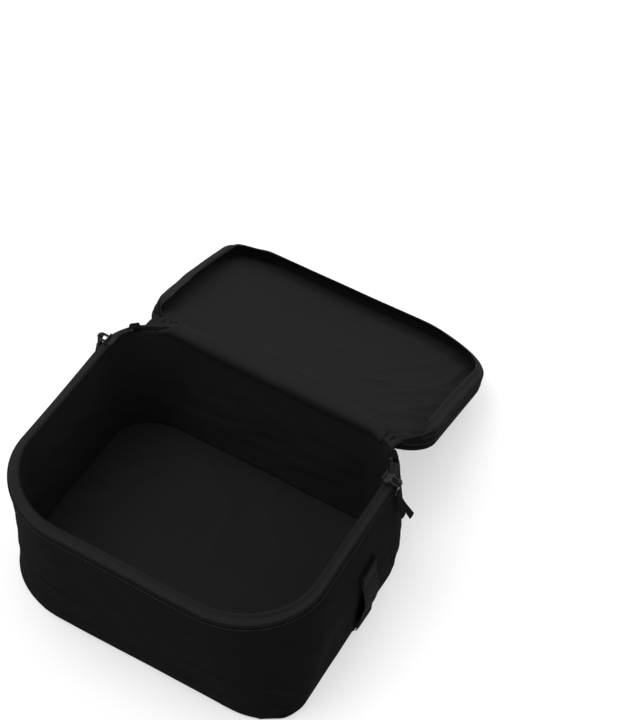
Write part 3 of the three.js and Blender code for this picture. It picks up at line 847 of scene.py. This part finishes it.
# The roll's (y, z) places in mm from the fold when tight and when loose, and the way outwards there.
ROLL = [
    ((-5.3, -6.0), (-6.4, -6.5), (-0.3, 0)),
    ((-5.7, 0.6), (-7.2, 0.6), (-1, 0)),
    ((-4.2, 2.6), (-5.6, 3.6), (-0.7, 0.7)),
    ((0.0, 3.2), (0.0, 5.0), (0, 1)),
    ((3.2, 2.2), (6.2, 4.4), (0.7, 0.7)),
    ((4.2, -2.0), (8.4, 0.4), (1, 0)),
    ((5.0, -10.0), (7.6, -9.0), (1, 0)),
    ((5.6, -19.0), (6.6, -19.0), (1, 0)),
]


def hinge_path(lift, loose):
    """(y, z) over the rear rim in a roll, tight or loose, then down behind it to the lid's edge."""
    y, z = LOWER_FOLD.y, LOWER_FOLD.z
    ey, ez = UPPER_FOLD.y, UPPER_FOLD.z
    path = []
    for a, b, out in ROLL:
        place = np.array(a) * (1 - loose) + np.array(b) * loose
        path.append(place * MM + np.array(out) * lift + [y, z])
    path.append((ey + 3.2 * MM + lift, ez + 2.4 * MM))
    return rounded_path(path, 44)


def rolled_sheet(name, lift, thickness, half, seed):
    """A closed strip of cloth swept along X between two hinge paths, tight at its two ends."""
    xs = np.linspace(-half, half, 111)
    rings, runs, slack = [], [], []
    for x in xs:
        beyond = max(abs(x) - HINGE_HALF, 0)
        back = 1.25 * (REAR_CORNER - math.sqrt(REAR_CORNER**2 - beyond**2))
        loose = 1 - float(smooth(0.45, 1.0, abs(x) / half)) * 0.97
        outer, inner = hinge_path(lift + thickness, loose), hinge_path(lift, loose)
        ring = np.concatenate([outer, inner[::-1]])
        slack.append(np.full(len(ring), loose))
        runs.append(np.concatenate([[0], np.cumsum(np.linalg.norm(np.diff(ring, axis=0), axis=1))]))
        rings.append(np.column_stack([np.full(len(ring), x), ring[:, 0] - back, ring[:, 1]]))
    m = len(rings[0])
    verts = np.concatenate(rings)
    half_ring = np.linspace(0, 1, m // 2)
    free = np.tile(np.sin(math.pi * np.concatenate([half_ring, half_ring[::-1]])), len(xs))
    place = verts * [1, 0.4, 0.4]
    puff = (waves(place, seed, 60 * MM) * 1.6 + waves(place, seed + 1, 24 * MM) * 0.8) * MM * free
    down_roll = np.tile(np.concatenate([half_ring, half_ring[::-1]]), len(xs))
    for where, depth in ((0.40, 1.5), (0.66, 2.2)):  # two creases along the strip
        wander = where + 0.03 * waves(place * [1, 0, 0], seed + 2, 110 * MM)
        puff -= np.exp(-(((down_roll - wander) / 0.045) ** 2)) * depth * MM
    puff *= 0.15 + 0.85 * np.concatenate(slack)
    end = smooth(0.90, 1.0, np.abs(verts[:, 0]) / half)
    verts[:, 2] += puff - end * np.sqrt(free) * 5.0 * MM  # the ends go in under the gussets
    verts[:, 1] += puff * 0.5
    faces = [tuple(f) for f in grid_faces(len(xs), m, False, True)[:, ::-1]]
    start, count = len(verts) - m, m // 2
    for i in range(count - 1):  # closes each end between the two paths
        faces.append((i, i + 1, m - 2 - i, m - 1 - i)[::-1])
        faces.append((start + i, start + i + 1, start + m - 2 - i, start + m - 1 - i))
    uv = np.column_stack([verts[:, 0], np.concatenate(runs)])
    return mesh_object(name, verts, faces, uv)


def bend_over_rim(obj):
    """Bakes the cloth's placement into its mesh; it adds no bend of its own."""
    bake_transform(obj)


def make_hinge():
    strip = rolled_sheet("hinge_cloth", 0.0, CLOTH * 0.7, HINGE_HALF + 17 * MM, 81)
    dress(strip, SHELL, None, "shell_fabric", "hinge_strip")
    bend_over_rim(strip)
    inner = rolled_sheet("hinge_lining_cloth", CLOTH * 0.7 + 0.3 * MM, LINING, HINGE_HALF + 18 * MM, 81)
    dress(inner, LINED, None, "lining", "hinge_lining")
    bend_over_rim(inner)


GUSSET_FROM, GUSSET_TO = 79, 50  # degrees of the rear corner


def make_gusset(side, label):
    """Gathered cloth at each end of the hinge, from the rim's corner down to the lid's corner."""
    columns, rows = 48, 22
    angles = np.radians(np.linspace(GUSSET_FROM, GUSSET_TO, columns))
    centre = np.array([WIDTH / 2 - REAR_CORNER, DEPTH / 2 - REAR_CORNER])
    normal = np.stack([np.cos(angles), np.sin(angles)], 1)
    xy = centre + REAR_CORNER * normal
    mirrored = xy * [side, 1]
    facing = normal * [side, 1]
    over_roll = smooth(64.0, 78.0, np.degrees(angles)) * 2.6 * MM
    top = case_shape(mirrored, facing, -3.2 * MM, BOUND_TOP + 0.8 * MM + over_roll)
    low = lid_shape(mirrored, facing, -2.0 * MM, LID_TOP - 6.5 * MM)
    fullness = 1.0 if side > 0 else 1.5  # the left one is bunched up more
    verts, uv = [], []
    for layer in (0.5, -0.5):
        for i in range(rows):
            t = i / (rows - 1)
            point = top * (1 - t) + low * t
            swell = math.sin(math.pi * t)
            pleat = np.cos(np.linspace(0, 7 * math.pi, columns) + t * 1.3) * 1.5 * MM
            pleat += np.cos(np.linspace(0, 17 * math.pi, columns) - t * 2.1) * 0.4 * MM
            out = (fullness * 2.5 * MM + pleat) * swell + layer * 0.9 * MM
            lift = (fullness * 4.5 * MM + pleat * 0.7) * swell + layer * 0.5 * MM
            verts.append(point + np.column_stack([facing * out[:, None], lift]))
            uv.append(np.column_stack([angles * REAR_CORNER, np.full(columns, t * 0.04)]))
    verts, uv = np.concatenate(verts), np.concatenate(uv)
    half = rows * columns
    sheet = grid_faces(rows, columns, False, False)
    faces = [tuple(f) for f in sheet] + [tuple(f) for f in sheet[:, ::-1] + half]
    border = [i * columns for i in range(rows)] + [half - columns + i for i in range(1, columns)]
    border += [half - 1 - i * columns for i in range(1, rows)]
    border += [columns - 1 - i for i in range(1, columns)]
    for a, b in zip(border, border[1:] + border[:1]):
        if a != b:
            faces.append((b, a, a + half, b + half))
    if side > 0:
        faces = [f[::-1] for f in faces]
    obj = mesh_object(f"hinge_gusset_{label}", verts, faces, uv)
    dress(obj, LINED, None, "lining")
    bend_over_rim(obj)  # its corner lies in front of the fold


make_hinge()
make_gusset(1, "right")
make_gusset(-1, "left")

# ---- Side handle ----

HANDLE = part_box("side_handle")
HANDLE_PAD_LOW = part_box("handle_patch_lower")
HANDLE_PAD_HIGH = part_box("handle_patch_upper")
WEB = 1.5 * MM


def on_right_wall(y, off, z):
    """Places on the right wall at these heights, off its cloth."""
    count = len(z)
    xy = np.column_stack([np.full(count, WIDTH / 2), y])
    return case_shape(xy, np.tile([1.0, 0.0], (count, 1)), off, z)


def strap(name, heights, offsets, low_y, high_y, thickness):
    """Webbing on the right wall: offsets gives how far its inner face stands off at each height."""
    across = np.linspace(low_y, high_y, 13)
    edge = 1 - np.abs(np.linspace(-1, 1, 13)) ** 8 * 0.5  # thinner at its woven edges
    n, m = len(heights), len(across)
    verts, uv = [], []
    for side in (1, -1):
        for z, off in zip(heights, offsets):
            middle = off + thickness / 2
            verts.append(on_right_wall(across, middle + side * edge * thickness / 2, np.full(m, z)))
            uv.append(np.column_stack([np.full(m, z), across]))
    verts, uv = np.concatenate(verts), np.concatenate(uv)
    return mesh_object(name, verts, [f[::-1] for f in sheet_faces(n, m)], uv)


def make_handle():
    low, high = HANDLE
    end = HANDLE_PAD_LOW[1].z - HANDLE_PAD_LOW[0].z
    bow = HANDLE[1].x - WIDTH / 2 - 3.6 * MM
    heights = np.linspace(low.z, high.z, 49)
    middle = np.clip((heights - low.z - end) / (high.z - low.z - 2 * end), 0, 1)
    offsets = WEB + 0.5 * MM + bow * 0.5 * np.sin(math.pi * middle) ** 0.8
    obj = strap("side_handle_webbing", heights, offsets, low.y, high.y, WEB)
    dress(obj, WEBBING, "case", "webbing", "side_handle")
    for label, pad in (("lower", HANDLE_PAD_LOW), ("upper", HANDLE_PAD_HIGH)):
        rows = np.linspace(pad[0].z - 0.8 * MM, pad[1].z + 0.8 * MM, 9)
        off = np.full(len(rows), 0.3 * MM)
        piece = strap(f"handle_patch_{label}_web", rows, off, low.y - MM, high.y + MM, WEB)
        dress(piece, WEBBING, "case", "webbing", f"handle_patch_{label}")
    paths = []
    inset = 2.5 * MM
    for pad in (HANDLE_PAD_LOW, HANDLE_PAD_HIGH):
        y0, y1, z0, z1 = low.y + inset, high.y - inset, pad[0].z + inset, pad[1].z - inset
        corners = [(y0, z0), (y1, z0), (y1, z1), (y0, z1), (y0, z0), (y1, z1), (y0, z1), (y1, z0)]
        for (ya, za), (yb, zb) in zip(corners[:-1], corners[1:]):
            t = np.linspace(0, 1, 12)
            paths.append(on_right_wall(ya + (yb - ya) * t, 2 * WEB + 0.62 * MM, za + (zb - za) * t))
    seam = stitches("handle_stitching", paths, pitch=2.6 * MM, length=2.0 * MM)
    dress(seam, THREAD, "case", "webbing")


make_handle()

# ---- Zip ends, sliders and pulls ----


def pillow(name, low, high, turn, material, body, slot, *replaced, power=0.45):
    """A rounded soft block that fills a box, turned about Z, with a dented top."""
    rows, columns = 17, 28
    a = np.linspace(-math.pi / 2, math.pi / 2, rows)[1:-1]
    b = np.linspace(0, 2 * math.pi, columns, endpoint=False)

    def squared(value):
        return np.sign(value) * np.abs(value) ** power

    centre, half = (Vector(low) + Vector(high)) / 2, (Vector(high) - Vector(low)) / 2
    ring = np.stack([
        (squared(np.cos(a))[:, None] * squared(np.cos(b))).ravel(),
        (squared(np.cos(a))[:, None] * squared(np.sin(b))).ravel(),
        np.repeat(squared(np.sin(a)), columns),
    ], 1)
    verts = np.concatenate([ring, [[0, 0, -1], [0, 0, 1]]]) * list(half)
    dent = waves(verts + list(centre), 91, 5 * MM) * 0.25 * MM
    verts *= (1 + dent / half.z)[:, None]
    c, s = math.cos(turn), math.sin(turn)
    verts = verts @ np.array([[c, s, 0], [-s, c, 0], [0, 0, 1]]) + list(centre)
    count = len(a)
    faces = [tuple(f) for f in grid_faces(count, columns, False, True)[:, ::-1]]
    south, north = count * columns, count * columns + 1
    for i in range(columns):
        k = (i + 1) % columns
        faces.append((south, k, i))
        faces.append((north, (count - 1) * columns + i, (count - 1) * columns + k))
    obj = mesh_object(name, verts, faces, verts[:, :2])
    return dress(obj, material, body, slot, *replaced)


def on_rear_corner(side, degrees, off, z):
    """A place on a rear corner of the case, and the way that it faces."""
    angle = math.radians(degrees)
    normal = np.array([math.cos(angle), math.sin(angle)])
    xy = np.array([WIDTH / 2 - REAR_CORNER, DEPTH / 2 - REAR_CORNER]) + REAR_CORNER * normal
    place = case_shape(xy * [side, 1], normal * [side, 1], off, z)[0]
    return Vector(place), side * angle if side > 0 else math.pi - angle


def make_zip_ends():
    for side, label in ((1, "right"), (-1, "left")):
        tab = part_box(f"zip_end_tab_{label}")
        z = (tab[0].z + tab[1].z) / 2
        middle, turn = on_rear_corner(side, ZIP_END + 9, -4.4 * MM, z)
        half = Vector((3.4 * MM, 4.8 * MM, (tab[1].z - tab[0].z) / 2 + 0.4 * MM))
        pillow(f"zip_end_cloth_{label}", middle - half, middle + half, turn, SHELL, "case",
               "shell_fabric", f"zip_end_tab_{label}")
        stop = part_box(f"zip_stop_{label}")
        middle, turn = on_rear_corner(side, ZIP_END + 2, -8.2 * MM, (stop[0].z + stop[1].z) / 2)
        half = Vector((1.3 * MM, 1.2 * MM, 1.3 * MM))
        pillow(f"zip_stop_{label}_crimp", middle - half, middle + half, turn, METAL, "case",
               "black_metal", f"zip_stop_{label}", power=0.3)


def soften(name, width, material):
    """A CAD piece keeps its shape, with its edges rounded, and takes a better material."""
    obj = frame["nodes"][name]
    bevel = obj.modifiers.new("edges", "BEVEL")
    bevel.width, bevel.segments, bevel.limit_method = width, 2, "ANGLE"
    obj.data.materials.clear()
    obj.data.materials.append(material)


def ribbon_tail(path, width):
    """Vertices and faces of a flat tail: path holds (out, z) points, width the size at each."""
    thick = 0.45 * MM
    path, width = np.asarray(path), np.asarray(width)
    along_path = np.gradient(path, axis=0)
    along_path /= np.linalg.norm(along_path, axis=1, keepdims=True)
    across = np.stack([along_path[:, 1], -along_path[:, 0]], 1)
    steps = np.linspace(-1, 1, 9)
    verts, uv = [], []
    for side in (1, -1):
        for p, a, w, run in zip(path, across, width, np.linspace(0, 1, len(path))):
            cup = (1 - steps**2) * 0.35 * MM * run
            out = p[0] + a[0] * (side * thick / 2) + cup
            height = np.full(len(steps), p[1] + a[1] * side * thick / 2)
            verts.append(np.column_stack([out, steps * w / 2, height]))
            uv.append(np.column_stack([np.full(len(steps), run * 0.03), steps * w / 2]))
    return np.concatenate(verts), sheet_faces(len(path), len(steps)), np.concatenate(uv)


def make_pull(side, label):
    """One ribbon folded through the puller, with two tails that curve away from the wall."""
    low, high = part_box(f"pull_ribbon_{label}")
    x = (low.x + high.x) / 2 * side
    y = (low.y + high.y) / 2
    top, length = high.z, high.z - low.z
    t = np.linspace(0, 1, 18)
    verts, faces, uv = [], [], []
    flare = 1.0 if side > 0 else 0.12  # the left one hangs straight down its wall
    for reach, drop, start in ((9.5 * MM * flare, 1.0, 1.0 * MM), (15.5 * MM * flare, 0.80, 1.8 * MM)):
        out = x + start + reach * t**1.5
        path = np.stack([out, top - length * drop * (t - 0.06 * t**2)], 1)
        over = [(x - 1.2 * MM, top - 2 * MM), (x - 0.9 * MM, top + 0.4 * MM), (x + start, top)]
        loop = rounded_path(over, 6)
        path = np.concatenate([loop[:-1], path]) if drop == 1.0 else path
        width = 4.2 * MM + 3.2 * MM * smooth(0.35, 1.0, np.linspace(0, 1, len(path)))
        v, f, tex = ribbon_tail(path, width)
        first = sum(len(part) for part in verts)
        verts.append(v)
        uv.append(tex)
        faces += [tuple(i + first for i in face) for face in f]
    verts = np.concatenate(verts)
    verts[:, 0] *= side
    verts[:, 1] += y
    if side < 0:
        faces = [f[::-1] for f in faces]
    obj = mesh_object(f"pull_ribbon_{label}_tape", verts, faces, np.concatenate(uv))
    dress(obj, WEBBING, f"pull_{label}", "webbing", f"pull_ribbon_{label}")


make_zip_ends()
for side, label in ((1, "right"), (-1, "left")):
    for name in ("slider", "slider_bridge", "puller"):
        soften(f"{name}_{label}", 0.25 * MM, METAL)
    make_pull(side, label)

# ---- Seams ----


def ring_path(outline, shape, off, z):
    """A stitch line round an outline, at one offset and height."""
    points = shape(outline.xy, outline.normal, off, z)
    return np.concatenate([points, points[:1]]) if outline.closed else points


def make_seams():
    proud = 0.12 * MM
    rows = [
        ("case_top_stitching", RING, case_shape, proud, RIM - 2.2 * MM, "case", "shell_fabric"),
        ("case_foot_stitching", RING, case_shape, proud, WALL_FOOT + 2.4 * MM, "case", "shell_fabric"),
        ("rim_stitching", RING, case_shape, -2.6 * MM, BOUND_TOP + 0.2 * MM, "case", "binding_tape"),
        ("lid_rim_stitching", ZIP_RUN, lid_shape, proud, LID_SEAM + 2.0 * MM, "lid", "shell_fabric"),
        ("lid_top_stitching", WALL_RUN, lid_shape, proud, LID_TOP - 6.2 * MM, "lid", "shell_fabric"),
    ]
    for name, outline, shape, off, z, body, slot in rows:
        dress(stitches(name, [ring_path(outline, shape, off, z)]), THREAD, body, slot)


make_seams()
